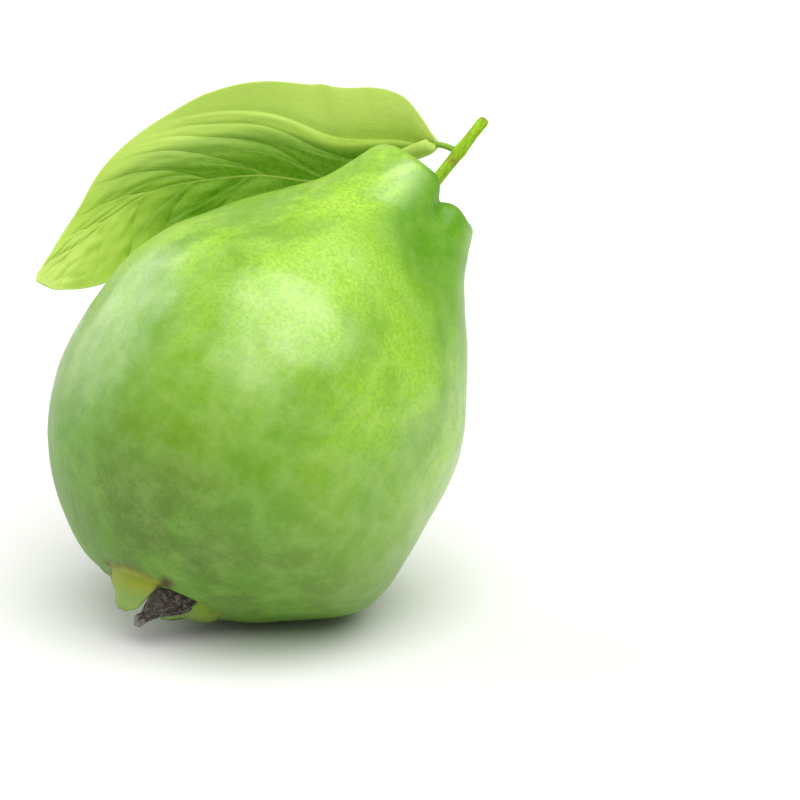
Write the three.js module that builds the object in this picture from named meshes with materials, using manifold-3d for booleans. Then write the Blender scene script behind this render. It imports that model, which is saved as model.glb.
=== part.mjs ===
// A whole guava lying tilted on its side, with its stalk and one leaf.
// Millimetres, +Z up. The origin is the middle of the small flat spot that the fruit rests on.
import * as THREE from 'three';
import { mergeVertices } from 'three/addons/utils/BufferGeometryUtils.js';
import Module from 'manifold-3d';

const wasm = await Module();
wasm.setup();

// Driving dimensions of the fruit. Its own axis runs from the flower end (0) to the stalk end.
const CREST_HEIGHT = 95.4;
const CREST_RADIUS = 9.8;
const BELLY_RADIUS = 37.8;
const CALYX_RADIUS = 11.2;
const CALYX_HEIGHT = 0.6;
const AXIS_BOW = 1.5;
const FRUIT_SEGMENTS = 56;

// How the fruit lies: its axis leans from upright, and the flat spot is cut level.
const HEADING = THREE.MathUtils.degToRad(35.2);
const LEAN = THREE.MathUtils.degToRad(42.8);
const SPIN = THREE.MathUtils.degToRad(-37.1);
const SEAT = new THREE.Vector3(-22.3, -18.1, 9.6);

// Stalk, leaf stalk and blade.
const STALK_RADIUS = 1.15;
const STALK_FOOT = 91.0;
const STALK_TOP = 113.3;
const STALK_ASIDE = 0.8;
const STALK_SLANT = 0.061;
const LEAF_JOINT = 13.8;
const LEAF_STALK_RADIUS = 0.6;
const LEAF_THICKNESS = 0.7;
const MIDRIB_DEPTH = 0.9;
const VEIN_PAIRS = 9;
const VEIN_ARCH = 0.17;
const PUFF_HEIGHT = 0.55;

// Half outline of the fruit as radius and height, from the calyx cup to the stalk hollow.
const FRUIT_OUTLINE = [
  [0, CALYX_HEIGHT + 3.6],
  [6, CALYX_HEIGHT + 3.4],
  [9.2, CALYX_HEIGHT + 2.4],
  [10.1, CALYX_HEIGHT + 0.7],
  [CALYX_RADIUS, CALYX_HEIGHT],
  [13.2, 1.3],
  [16.7, 2.7],
  [22.1, 6.2],
  [28.4, 11.4],
  [33.3, 17.6],
  [36.3, 25],
  [37.5, 33],
  [BELLY_RADIUS, 41],
  [37.3, 49.5],
  [35.0, 57.5],
  [30.6, 65],
  [26.0, 72],
  [20.8, 78.5],
  [16.8, 84],
  [14.5, 89],
  [13.3, 92.2],
  [12.0, 94.7],
  [CREST_RADIUS, CREST_HEIGHT],
  [7.6, 95.0],
  [5.4, 92.9],
  [3.2, 91.0],
  [0, 90.4],
];

// Knobs round the stalk hollow: turn in degrees about the axis, half width, lift and outward push.
const KNOBS = [
  { turn: 219, width: 41, lift: 0.9, push: 0.7 },
  { turn: 330, width: 26, lift: -2.6, push: 1.0 },
  { turn: 22, width: 22, lift: -0.8, push: 0.9 },
  { turn: 84, width: 28, lift: 0.2, push: 0.8 },
  { turn: 146, width: 24, lift: -0.7, push: 0.7 },
];

// Creases between the knobs: turn, half width, how deep, how far the crest drops.
const CREASES = [
  { turn: 297, width: 12, depth: 1.4, drop: 2.6 },
  { turn: 356, width: 8, depth: 1.0, drop: 1.4 },
  { turn: 53, width: 9, depth: 1.2, drop: 1.8 },
  { turn: 116, width: 8, depth: 1.0, drop: 1.5 },
  { turn: 174, width: 8, depth: 0.7, drop: 1.2 },
];

// Broad low swellings of the belly: turn and height of the middle, half width, half height, push.
const SWELLINGS = [
  { turn: 188, height: 18, width: 58, tall: 9, push: 1.1 },
  { turn: 332, height: 9, width: 42, tall: 9, push: 0.7 },
  { turn: 10, height: 26, width: 60, tall: 13, push: 1.4 },
];

// Green sepals: middle turn, half spread, length, tip share of the width, inward slope, sideways swing
// of the tip, and waviness. The dry one is narrower because it has shrunk.
const GREEN_SEPALS = [
  { turn: 237, spread: 26, length: 8.9, tip: 0.62, inward: 34, swing: 0, flare: 0.25 },
  { turn: 346, spread: 37, length: 9.6, tip: 0.34, inward: 54, swing: -6, flare: 0.3 },
  { turn: 60, spread: 32, length: 6.2, tip: 0.34, inward: 38, swing: 8, flare: 0.4 },
  { turn: 136, spread: 38, length: 6.8, tip: 0.3, inward: 32, swing: 0, flare: 0.5 },
];
const DRY_SEPAL = { turn: 288, spread: 19, length: 9.8, tip: 0.5, inward: 36, swing: -24, flare: 0.2 };

// Middle line of the leaf from its base to its tip.
const MIDRIB_POINTS = [
  [32.9, 28.2, 85.9],
  [25.6, 37.3, 81.5],
  [15.4, 40.7, 77.2],
  [7.7, 42.0, 76.2],
  [-3.1, 42.3, 77.3],
  [-15.4, 41.5, 76.3],
  [-23.0, 39.6, 75.1],
  [-29.4, 37.8, 72.3],
  [-35.2, 34.5, 68.2],
  [-41.0, 31.1, 63.6],
  [-47.0, 26.6, 58.6],
];

// Width of the upper and the lower half of the blade by share of its length.
const UPPER_MARGIN = [
  [0, 0.6],
  [0.04, 6.4],
  [0.09, 12.2],
  [0.16, 16.3],
  [0.3, 20.0],
  [0.43, 19.8],
  [0.54, 17.5],
  [0.67, 11.9],
  [0.75, 8.8],
  [0.83, 5.6],
  [0.91, 3.2],
  [1, 0.9],
];
const LOWER_MARGIN = [
  [0, 0.6],
  [0.04, 6.2],
  [0.09, 9.4],
  [0.16, 11.8],
  [0.26, 15.4],
  [0.38, 18.0],
  [0.48, 18.4],
  [0.6, 16.8],
  [0.72, 14.4],
  [0.82, 11.6],
  [0.9, 9.0],
  [0.95, 6.2],
  [1, 2.4],
];

const BLADE_FACING = new THREE.Vector3(0, -0.961, 0.276);

function smooth(low, high, value) {
  return THREE.MathUtils.smoothstep(value, low, high);
}

function turnGap(first, second) {
  const gap = Math.abs(first - second) % 360;
  return Math.min(gap, 360 - gap);
}

function bell(distance, width) {
  return Math.exp(-((distance / width) ** 2));
}

// Straight-line reading of a list of pairs.
function readOutline(pairs, value) {
  for (let i = 1; i < pairs.length; i += 1) {
    const [x0, y0] = pairs[i - 1];
    const [x1, y1] = pairs[i];
    if (value <= x1) {
      return y0 + (y1 - y0) * (value - x0) / (x1 - x0);
    }
  }
  return pairs[pairs.length - 1][1];
}

function moveVertices(geometry, move) {
  const place = geometry.attributes.position;
  const point = new THREE.Vector3();
  for (let i = 0; i < place.count; i += 1) {
    point.fromBufferAttribute(place, i);
    const moved = move(point);
    place.setXYZ(i, moved.x, moved.y, moved.z);
  }
  return geometry;
}

function toSolid(geometry) {
  const bare = geometry.clone();
  bare.deleteAttribute('normal');
  bare.deleteAttribute('uv');
  const welded = mergeVertices(bare, 1e-3);
  return new wasm.Manifold(new wasm.Mesh({
    numProp: 3,
    vertProperties: new Float32Array(welded.attributes.position.array),
    triVerts: new Uint32Array(welded.index.array),
  }));
}

function toGeometry(solid) {
  const mesh = solid.getMesh();
  const geometry = new THREE.BufferGeometry();
  geometry.setAttribute('position', new THREE.BufferAttribute(mesh.vertProperties, 3));
  geometry.setIndex(new THREE.BufferAttribute(mesh.triVerts, 1));
  geometry.computeVertexNormals();
  return geometry;
}

function joinAll(geometries) {
  return geometries.map(toSolid).reduce((whole, next) => whole.add(next));
}

// The flower end sits a little to one side and slants. This bends a point near it to match,
// and it bows the whole axis slightly.
function bendAxis(point) {
  const near = 1 - smooth(0, 24, point.z);
  const x = point.x + 3.2 * (1 - smooth(0, 36, point.z)) - AXIS_BOW * Math.sin(Math.PI * Math.min(1, Math.max(0, point.z / 94)));
  const z = point.z + (0.2 * (point.x + 2) - 0.07 * point.y) * near;
  return new THREE.Vector3(x, point.y, z);
}

// Uneven belly, knobs and creases of the skin.
function sculptSkin(point) {
  const radius = Math.hypot(point.x, point.y);
  const angle = Math.atan2(point.y, point.x);
  const turn = (THREE.MathUtils.radToDeg(angle) + 360) % 360;
  const offAxis = smooth(0.5, 6, radius);
  const neck = smooth(66, 93, point.z) * offAxis;
  const crest = smooth(85, 95, point.z) * smooth(1.5, 8, radius);
  const belly = Math.sin(Math.PI * smooth(6, 88, point.z)) * offAxis;
  let push = belly * (0.35 * Math.cos(2 * angle + 0.6) + 0.25 * Math.cos(3 * angle - 1.1));
  let lift = 0;
  for (const swelling of SWELLINGS) {
    push += swelling.push * bell(turnGap(turn, swelling.turn), swelling.width)
      * bell(point.z - swelling.height, swelling.tall) * offAxis;
  }
  for (const knob of KNOBS) {
    const share = bell(turnGap(turn, knob.turn), knob.width);
    push += knob.push * share * neck;
    lift += knob.lift * share * crest;
  }
  for (const crease of CREASES) {
    const share = bell(turnGap(turn, crease.turn), crease.width);
    push -= crease.depth * share * neck * neck;
    lift -= crease.drop * share * crest;
  }
  const grown = radius > 0 ? (radius + push) / radius : 1;
  const aside = STALK_ASIDE * (1 - smooth(2.5, 9.5, radius)) * smooth(80, 88, point.z);
  return new THREE.Vector3(point.x * grown + aside, point.y * grown, point.z + lift);
}

function makeFruitBody() {
  const corners = FRUIT_OUTLINE.map(([radius, height]) => new THREE.Vector3(radius, height, 0));
  const curve = new THREE.CatmullRomCurve3(corners, false, 'centripetal');
  const outline = curve.getPoints((corners.length - 1) * 2).map((p) => new THREE.Vector2(Math.max(0, p.x), p.y));
  const body = new THREE.LatheGeometry(outline, FRUIT_SEGMENTS);
  body.rotateX(Math.PI / 2);
  return moveVertices(body, (point) => bendAxis(sculptSkin(point)));
}

// A sepal is a slab bent round the calyx ring: root inside the flesh, tip pointing out and inwards.
function makeSepal(sepal, rootRadius, rootHeight, thickness) {
  const slab = new THREE.BoxGeometry(1, 1, 1, 8, 1, 7);
  const inward = THREE.MathUtils.degToRad(sepal.inward);
  return moveVertices(slab, (point) => {
    const across = point.x * 2;
    const along = point.z + 0.5;
    const narrow = 1 - (1 - sepal.tip) * smooth(0.15, 1, along);
    const bend = across * THREE.MathUtils.degToRad(sepal.spread) * narrow;
    const angle = THREE.MathUtils.degToRad(sepal.turn + sepal.swing * along * along) + bend;
    const slope = inward * smooth(0, 0.7, along);
    const edge = 1 - 0.18 * across * across * along;
    const reach = sepal.length * along * edge;
    const wave = sepal.flare * Math.sin(3 * across + 5 * along) * along;
    const half = thickness * (0.62 - 0.22 * along);
    const radius = rootRadius - reach * Math.sin(slope) + wave + point.y * 2 * half;
    const height = rootHeight - reach * Math.cos(slope);
    return bendAxis(new THREE.Vector3(radius * Math.cos(angle), radius * Math.sin(angle), height));
  });
}

function fruitPose() {
  const pose = new THREE.Matrix4().makeRotationZ(HEADING);
  pose.multiply(new THREE.Matrix4().makeRotationY(LEAN));
  pose.multiply(new THREE.Matrix4().makeRotationZ(SPIN));
  pose.setPosition(SEAT);
  return pose;
}

function makeFruit() {
  const parts = [makeFruitBody()];
  for (const sepal of GREEN_SEPALS) {
    parts.push(makeSepal(sepal, CALYX_RADIUS - 0.6, CALYX_HEIGHT + 1.4, 1.3));
  }
  const floor = new THREE.BoxGeometry(90, 90, 20);
  floor.translate(0, 0, -10);
  floor.applyMatrix4(fruitPose().invert());
  return toGeometry(joinAll(parts).subtract(toSolid(floor)));
}

// Withered remains in the calyx cup: a brown disc, the style and stamen stubs, and one dead sepal.
function makeDryCalyx() {
  const outline = [[0, 2.5], [6.5, 2.4], [8.6, 1.4], [8.4, 0.4], [6, -0.2], [3, 0.5], [0, 0.3]];
  const disc = new THREE.LatheGeometry(outline.reverse().map(([r, z]) => new THREE.Vector2(r, z)), 28);
  disc.rotateX(Math.PI / 2);
  disc.translate(0, 0, CALYX_HEIGHT + 0.4);
  const parts = [moveVertices(disc, bendAxis), makeSepal(DRY_SEPAL, 9.4, CALYX_HEIGHT - 0.2, 1.4)];
  const hinge = new THREE.BoxGeometry(2.6, 4.2, 1.9);
  const turn = THREE.MathUtils.degToRad(DRY_SEPAL.turn);
  hinge.translate(8.0, 0, CALYX_HEIGHT + 0.2);
  hinge.rotateZ(turn);
  parts.push(moveVertices(hinge, bendAxis));
  const stubs = [[0.4, 0, 0, 5.2, 0.7], [4.6, 30, 14, 3.6, 0.4], [4.2, 105, 18, 3.2, 0.4], [4.8, 190, 16, 3.9, 0.4],
    [4.4, 262, 12, 3.4, 0.4]];
  for (const [radius, degrees, tilt, length, thick] of stubs) {
    const stub = new THREE.CylinderGeometry(thick, thick * 0.7, length, 8);
    stub.rotateX(Math.PI / 2);
    stub.translate(0, 0, CALYX_HEIGHT + 1.6 - length / 2);
    stub.rotateY(THREE.MathUtils.degToRad(-tilt));
    stub.translate(radius, 0, 0);
    stub.rotateZ(THREE.MathUtils.degToRad(degrees));
    parts.push(moveVertices(stub, bendAxis));
  }
  return toGeometry(joinAll(parts));
}

// The stalk stands in the hollow, thickened at its foot and where the leaf grows out of it.
function makeStalk() {
  const length = STALK_TOP - STALK_FOOT;
  const outline = [
    [0, 0],
    [1.5, 0],
    [1.45, 1.5],
    [STALK_RADIUS, 4],
    [STALK_RADIUS * 0.97, LEAF_JOINT - 2.2],
    [STALK_RADIUS * 1.14, LEAF_JOINT],
    [STALK_RADIUS * 1.0, LEAF_JOINT + 1.8],
    [STALK_RADIUS * 0.93, length - 2.2],
    [STALK_RADIUS * 0.95, length - 0.7],
    [STALK_RADIUS * 0.6, length],
    [0, length],
  ];
  const stalk = new THREE.LatheGeometry(outline.map(([r, z]) => new THREE.Vector2(r, z)), 16);
  stalk.rotateX(Math.PI / 2);
  return moveVertices(stalk, (point) => new THREE.Vector3(
    point.x + STALK_ASIDE + STALK_SLANT * point.z,
    point.y,
    point.z,
  ));
}

// One half of the blade rolls about the midrib: it starts flat, turns by the angle, then runs on straight.
function rollHalf(width, angle) {
  const bendRadius = 2;
  const turned = Math.min(Math.abs(angle), width / bendRadius);
  const rest = width - turned * bendRadius;
  const side = Math.sign(angle);
  return {
    out: bendRadius * Math.sin(turned) + rest * Math.cos(turned),
    up: side * (bendRadius * (1 - Math.cos(turned)) + rest * Math.sin(turned)),
  };
}

const midrib = new THREE.CatmullRomCurve3(MIDRIB_POINTS.map((p) => new THREE.Vector3(...p)), false, 'centripetal');
const midribLength = midrib.getLength();

// A point of the blade's middle surface. row runs 0 to 1 from base to tip along the side veins,
// across runs -1 to 1 from the lower to the upper margin.
function bladePoint(row, across) {
  const share = Math.abs(across);
  const marginAt = 0.05 + 0.95 * row + VEIN_ARCH * Math.sin(Math.PI * row);
  const halfWidth = readOutline(across < 0 ? LOWER_MARGIN : UPPER_MARGIN, Math.min(1, marginAt));
  const along = row + (marginAt - row) * (0.6 * share + 0.4 * share * share);
  const t = THREE.MathUtils.clamp(along, 0, 1);
  const centre = midrib.getPointAt(t);
  const forward = midrib.getTangentAt(t);
  const upward = new THREE.Vector3().crossVectors(forward, BLADE_FACING).normalize();
  const facing = new THREE.Vector3().crossVectors(upward, forward).normalize();
  const distance = t * midribLength;
  const lean = THREE.MathUtils.degToRad(12) * smooth(4, 30, distance) * (1 - 0.7 * smooth(55, 85, distance));
  const fold = across < 0
    ? THREE.MathUtils.degToRad(4 + 196 * bell(distance, 8.5) - 38 * bell(distance - 18, 13))
    : THREE.MathUtils.degToRad(7);
  const rolled = rollHalf(halfWidth * share, fold);
  const puff = PUFF_HEIGHT * (Math.abs(Math.sin(Math.PI * VEIN_PAIRS * row)) - 0.5) * smooth(0, 0.25, share)
    * (1 - smooth(0.7, 1, share)) * (1 - smooth(0.85, 1, row));
  const recurve = 2.6 * share * share * Math.min(1, halfWidth / 14);
  const wave = 0.5 * share ** 3 * Math.sin(22 * row + 1.5 * Math.sign(across));
  const out = Math.sign(across) * rolled.out;
  const up = rolled.up + puff - recurve * (across < 0 ? smooth(8, 30, distance) : 1) + wave;
  return centre
    .addScaledVector(upward, out * Math.cos(lean) - up * Math.sin(lean))
    .addScaledVector(facing, out * Math.sin(lean) + up * Math.cos(lean));
}

function makeBlade() {
  const slab = new THREE.BoxGeometry(1, 1, 1, 16, 1, 36);
  return moveVertices(slab, (point) => {
    const evenly = point.x * 2;
    const across = Math.sign(evenly) * Math.abs(evenly) ** 1.15;
    const row = point.z + 0.5;
    const step = 0.004;
    const middle = bladePoint(row, across);
    const acrossSide = across >= 0 ? 1 : -1;
    const stepAcross = bladePoint(row, across - acrossSide * step).sub(bladePoint(row, across)).multiplyScalar(-acrossSide);
    const low = Math.max(0, row - step);
    const high = Math.min(1, row + step);
    const stepAlong = bladePoint(high, across).sub(bladePoint(low, across));
    const normal = stepAlong.cross(stepAcross).normalize();
    const ridge = MIDRIB_DEPTH * (1 - 0.75 * row) * bell(evenly, 0.07);
    const half = LEAF_THICKNESS / 2;
    const offset = point.y > 0 ? half : -half - ridge;
    return middle.addScaledVector(normal, offset);
  });
}

// Leaf stalk from beside the stalk to just inside the base of the blade.
function makeLeafStalk(from) {
  const base = midrib.getPointAt(0);
  const inside = midrib.getPointAt(0.02);
  const path = new THREE.CatmullRomCurve3([
    from,
    from.clone().lerp(base, 0.5).add(new THREE.Vector3(0, 0, 0.2)),
    base,
    inside,
  ]);
  const ring = new THREE.Shape();
  ring.absarc(0, 0, LEAF_STALK_RADIUS, 0, Math.PI * 2);
  return new THREE.ExtrudeGeometry(ring, { steps: 9, curveSegments: 10, bevelEnabled: false, extrudePath: path });
}

function makeLeaf() {
  const joint = new THREE.Vector3(STALK_ASIDE + STALK_SLANT * LEAF_JOINT, 0, STALK_FOOT + LEAF_JOINT);
  joint.add(new THREE.Vector3(-0.97, 1.29, 0));
  return toGeometry(joinAll([makeBlade(), makeLeafStalk(joint.applyMatrix4(fruitPose()))]));
}

function addPiece(group, name, geometry, color, roughness) {
  const mesh = new THREE.Mesh(geometry, new THREE.MeshStandardMaterial({ color, roughness, metalness: 0 }));
  mesh.name = name;
  group.add(mesh);
  return mesh;
}

const group = new THREE.Group();
const heading = new THREE.Group();
heading.position.copy(SEAT);
heading.rotation.z = HEADING;
const lean = new THREE.Group();
lean.rotation.y = LEAN;
const spin = new THREE.Group();
spin.rotation.z = SPIN;
group.add(heading);
heading.add(lean);
lean.add(spin);

addPiece(spin, 'fruit', makeFruit(), '#8fd046', 0.42);
addPiece(spin, 'dry_calyx', makeDryCalyx(), '#4a4038', 0.9);
const stalk = addPiece(spin, 'stalk', makeStalk(), '#86b81a', 0.5);
stalk.position.z = STALK_FOOT;
addPiece(group, 'leaf', makeLeaf(), '#6f9a2f', 0.5);

export default group;
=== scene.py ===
"""A whole guava lying tilted on its side, with its stalk and one leaf, in a plain studio."""

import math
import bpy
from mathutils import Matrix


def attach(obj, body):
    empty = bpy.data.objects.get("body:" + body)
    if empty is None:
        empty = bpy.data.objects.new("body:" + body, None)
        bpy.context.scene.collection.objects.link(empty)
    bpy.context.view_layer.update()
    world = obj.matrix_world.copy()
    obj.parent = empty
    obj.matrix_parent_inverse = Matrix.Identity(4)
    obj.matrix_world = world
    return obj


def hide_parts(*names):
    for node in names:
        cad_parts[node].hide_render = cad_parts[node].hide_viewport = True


bl_info = {
    "name": "Guava",
    "version": (1, 0, 0),
    "blender": (4, 5, 0),
    "location": "3D View > Sidebar > Guava",
    "description": "Builds a whole guava with its dry flower end, stalk and leaf",
    "category": "Add Mesh",
}

import bpy
from mathutils import Matrix, Vector, noise

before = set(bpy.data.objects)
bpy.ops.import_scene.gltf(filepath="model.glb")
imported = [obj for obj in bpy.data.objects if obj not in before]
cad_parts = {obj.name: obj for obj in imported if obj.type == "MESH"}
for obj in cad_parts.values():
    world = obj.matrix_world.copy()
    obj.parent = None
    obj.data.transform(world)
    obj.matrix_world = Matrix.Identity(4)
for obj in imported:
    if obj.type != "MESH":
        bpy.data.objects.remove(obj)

MM = 0.001

# How finely the pieces are cut: points round them and rows along them.
FRUIT_COLUMNS = 288
CUP_ROWS = 16
WALL_ROWS = 16
SKIN_ROWS = 270
FRUIT_ROWS = CUP_ROWS + 2 * WALL_ROWS + SKIN_ROWS
# Rows of the skin that the sepals' colour can reach.
SEPAL_SKIN_ROWS = 60
STALK_COLUMNS = 64
STALK_ROWS = 120
BLADE_ACROSS = 150
BLADE_ROWS = 300
MIDRIB_ROWS = 600
LEAF_STALK_COLUMNS = 32
LEAF_STALK_ROWS = 60
DRY_SEPAL_ACROSS = 70
DRY_SEPAL_ROWS = 100
DISC_COLUMNS = 120
DISC_ROWS = 80
CURVE_STEPS = 2000

# How the fruit lies: its own axis leans from upright.
HEADING = math.radians(35.2)
LEAN = math.radians(42.8)
SPIN = math.radians(-37.1)
SEAT = Vector((-22.3, -18.1, 9.6))

# Main sizes of the fruit in millimetres, in its own upright frame, with the flower end at the bottom.
CREST_HEIGHT = 95.4
CREST_RADIUS = 9.8
BELLY_RADIUS = 37.8
CALYX_RADIUS = 11.2
CALYX_HEIGHT = 0.6
AXIS_BOW = 1.5

# Stalk and leaf: radii, heights in the fruit's frame, and where the leaf joins above the stalk's foot.
STALK_RADIUS = 1.15
STALK_FOOT = 91.0
STALK_TOP = 113.3
STALK_ASIDE = 0.8
STALK_SLANT = 0.061
LEAF_JOINT = 13.8
LEAF_STALK_RADIUS = 0.6
BLADE_THICKNESS = 0.6
VEIN_ARCH = 0.17

# Half outline of the fruit as radius and height: the calyx cup, then the skin up to the stalk hollow.
CUP_OUTLINE = [
    (0, CALYX_HEIGHT + 3.6),
    (6, CALYX_HEIGHT + 3.4),
    (9.2, CALYX_HEIGHT + 2.4),
]
SKIN_OUTLINE = [
    (CALYX_RADIUS, CALYX_HEIGHT),
    (13.2, 1.3),
    (16.7, 2.7),
    (22.1, 6.2),
    (28.4, 11.4),
    (33.3, 17.6),
    (36.3, 25),
    (37.5, 33),
    (BELLY_RADIUS, 41),
    (37.3, 49.5),
    (35.0, 57.5),
    (30.6, 65),
    (26.0, 72),
    (20.8, 78.5),
    (16.8, 84),
    (14.5, 89),
    (13.3, 92.2),
    (12.0, 94.7),
    (CREST_RADIUS, CREST_HEIGHT),
    (7.6, 95.0),
    (5.4, 92.9),
    (3.2, 91.0),
    (0, 90.4),
]

# Knobs round the stalk hollow: turn in degrees, half width, lift and outward push.
KNOBS = [
    (219, 41, 0.9, 0.7),
    (330, 26, -2.6, 1.0),
    (22, 22, -0.8, 0.9),
    (84, 28, 0.2, 0.8),
    (146, 24, -0.7, 0.7),
]

# Creases between the knobs: turn, half width, how deep, how far the crest drops.
CREASES = [
    (297, 12, 1.4, 2.6),
    (356, 8, 1.0, 1.4),
    (53, 9, 1.2, 1.8),
    (116, 8, 1.0, 1.5),
    (174, 8, 0.7, 1.2),
]

# Broad low swellings of the belly: turn and height of the middle, half width, half height, push.
SWELLINGS = [
    (188, 18, 58, 9, 1.1),
    (332, 9, 42, 9, 0.7),
    (10, 26, 60, 13, 1.4),
]

# Sepals: middle turn, half spread, length, tip share of the width, inward slope, swing, waviness.
GREEN_SEPALS = [
    (235, 31, 8.9, 0.82, 34, -12, 0.25),
    (334, 30, 9.6, 0.42, 52, -14, 0.3),
    (60, 32, 6.2, 0.34, 38, 8, 0.4),
    (134, 34, 5.2, 0.3, 40, 0, 0.5),
]
DRY_SEPAL = (286, 24, 11.0, 0.42, 38, -25, 0.2)
SEPAL_ROOT_RADIUS = CALYX_RADIUS - 0.6
SEPAL_ROOT_HEIGHT = CALYX_HEIGHT + 1.4
SEPAL_THICKNESS = 1.3
DRY_SEPAL_THICKNESS = 0.85
DRY_ROOT_RADIUS = 10.2
DRY_ROOT_HEIGHT = CALYX_HEIGHT + 1.3
# Least height of the rim between two sepals.
RING_REACH = 1.7

# Half outline of the withered disc inside the sepals: radius, and height above the calyx's edge.
DISC_OUTLINE = [(0, 0.7), (3, 0.9), (6, 0.2), (8.4, 0.8), (9.0, 1.8), (6.5, 2.8), (0, 2.9)]

# Withered threads, style and fuzz of the flower.
STAMEN_COUNT = 64
STAMEN_LENGTH = 3.4
STAMEN_RADIUS = 0.14
STYLE_LENGTH = 5.0
STYLE_RADIUS = 0.6
HAIR_COUNT = 900
HAIR_LENGTH = 0.55
HAIR_RADIUS = 0.035
# Turn from one thread to the next, in degrees, which spreads them evenly.
SPREADING_TURN = 137.5
# Steps through the faces of the sepal from one hair to the next, which scatters them.
FACE_STRIDE = 7919

# Middle line of the leaf from its base to its tip.
MIDRIB_POINTS = [
    (32.9, 28.2, 85.9),
    (25.6, 37.3, 81.5),
    (15.4, 40.7, 77.2),
    (7.7, 42.0, 76.2),
    (-3.1, 42.3, 77.3),
    (-15.4, 41.5, 76.3),
    (-23.0, 39.6, 75.1),
    (-29.4, 37.8, 72.3),
    (-35.2, 34.5, 68.2),
    (-41.0, 31.1, 63.6),
    (-47.0, 26.6, 58.6),
]

# Width of the upper and the lower half of the blade by share of its length.
UPPER_MARGIN = [
    (0, 0.6),
    (0.04, 6.4),
    (0.09, 12.2),
    (0.16, 16.3),
    (0.3, 19.7),
    (0.43, 19.4),
    (0.54, 17.5),
    (0.67, 11.9),
    (0.75, 8.8),
    (0.83, 5.6),
    (0.91, 3.2),
    (1, 0.9),
]
LOWER_MARGIN = [
    (0, 0.9),
    (0.009, 5.2),
    (0.022, 6.3),
    (0.1, 6.7),
    (0.16, 10.6),
    (0.26, 15.4),
    (0.38, 18.0),
    (0.48, 18.4),
    (0.6, 16.8),
    (0.72, 14.4),
    (0.82, 11.6),
    (0.9, 9.0),
    (0.95, 6.2),
    (1, 2.4),
]
BLADE_FACING = Vector((0, -0.961, 0.276))

# The rolled base lobe: where the roll ends and has opened, how far it turns, and its radius.
LOBE_END = 9.5
LOBE_OPEN = 21.0
LOBE_ROLL = 300
LOBE_RADIUS = 1.35
NOSE_RADIUS = 0.25
NOSE_LENGTH = 2.2

# Side veins: where each leaves the midrib, and how far forward it has run when it meets the margin.
SIDE_VEINS = [
    (0.02, 0.64),
    (0.16, 0.53),
    (0.3, 0.41),
    (0.44, 0.3),
    (0.565, 0.22),
    (0.685, 0.17),
    (0.79, 0.12),
    (0.89, 0.08),
    (0.98, 0.05),
]

# Studio, in metres: floor, camera place and tilt, and where the two lights come from.
FLOOR_SIZE = 6
CAMERA_PLACE = (0.02556, -0.4080, 0.1585)
CAMERA_TILT = math.radians(74)
SENSOR_WIDTH = 36
KEY_FROM = Vector((0.21, -0.4, 0.9))
KEY_SPREAD = math.radians(64)
FILL_FROM = Vector((-0.85, 0.36, 0.38))
FILL_SPREAD = math.radians(60)
ROOM_LIGHT = 0.28


def linear(colour):
    """Linear red, green, blue and 1 for an sRGB hex colour."""
    parts = [int(colour[i:i + 2], 16) / 255 for i in (1, 3, 5)]
    return tuple(c / 12.92 if c <= 0.04045 else ((c + 0.055) / 1.055) ** 2.4 for c in parts) + (1.0,)


def smooth(low, high, value):
    """Soft step from 0 at low to 1 at high."""
    share = min(1.0, max(0.0, (value - low) / (high - low)))
    return share * share * (3.0 - 2.0 * share)


def bell(distance, width):
    """Bell curve: 1 in the middle, about a third at the width."""
    return math.exp(-((distance / width) ** 2))


def turn_gap(first, second):
    """Signed difference of two turns in degrees."""
    return (first - second + 180.0) % 360.0 - 180.0


def read_outline(pairs, value):
    """Straight-line reading of a list of pairs."""
    for (x0, y0), (x1, y1) in zip(pairs, pairs[1:]):
        if value <= x1:
            return y0 + (y1 - y0) * (value - x0) / (x1 - x0)
    return pairs[-1][1]


def read_curve(pairs, value):
    """Smooth reading of a list of pairs, without overshoot."""
    last = len(pairs) - 1
    number = 0
    while number < last - 1 and value > pairs[number + 1][0]:
        number += 1
    slopes = [(b[1] - a[1]) / (b[0] - a[0]) for a, b in zip(pairs, pairs[1:])]

    def lean(at):
        if at in (0, last):
            return slopes[0 if at == 0 else -1]
        before, after = slopes[at - 1], slopes[at]
        return 0.0 if before * after <= 0 else 2 * before * after / (before + after)

    (x0, y0), (x1, y1) = pairs[number], pairs[number + 1]
    width = x1 - x0
    weight = min(1.0, max(0.0, (value - x0) / width))
    square = weight * weight
    cube = square * weight
    return (
        y0 * (2 * cube - 3 * square + 1)
        + lean(number) * width * (cube - 2 * square + weight)
        + y1 * (3 * square - 2 * cube)
        + lean(number + 1) * width * (cube - square)
    )


def curve_point(points, share):
    """Point of the centripetal curve through the points, share 0 to 1."""
    last = len(points) - 1
    number = min(last - 1, int(share * last))
    weight = share * last - number
    p1 = points[number]
    p2 = points[number + 1]
    p0 = points[number - 1] if number > 0 else 2 * p1 - p2
    p3 = points[number + 2] if number + 2 <= last else 2 * p2 - p1
    d0 = max(1e-4, (p1 - p0).length ** 0.5)
    d1 = max(1e-4, (p2 - p1).length ** 0.5)
    d2 = max(1e-4, (p3 - p2).length ** 0.5)
    leave = ((p1 - p0) / d0 - (p2 - p0) / (d0 + d1) + (p2 - p1) / d1) * d1
    arrive = ((p2 - p1) / d1 - (p3 - p1) / (d1 + d2) + (p3 - p2) / d2) * d1
    square = weight * weight
    cube = square * weight
    return (
        p1 * (2 * cube - 3 * square + 1)
        + leave * (cube - 2 * square + weight)
        + p2 * (3 * square - 2 * cube)
        + arrive * (cube - square)
    )


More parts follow.
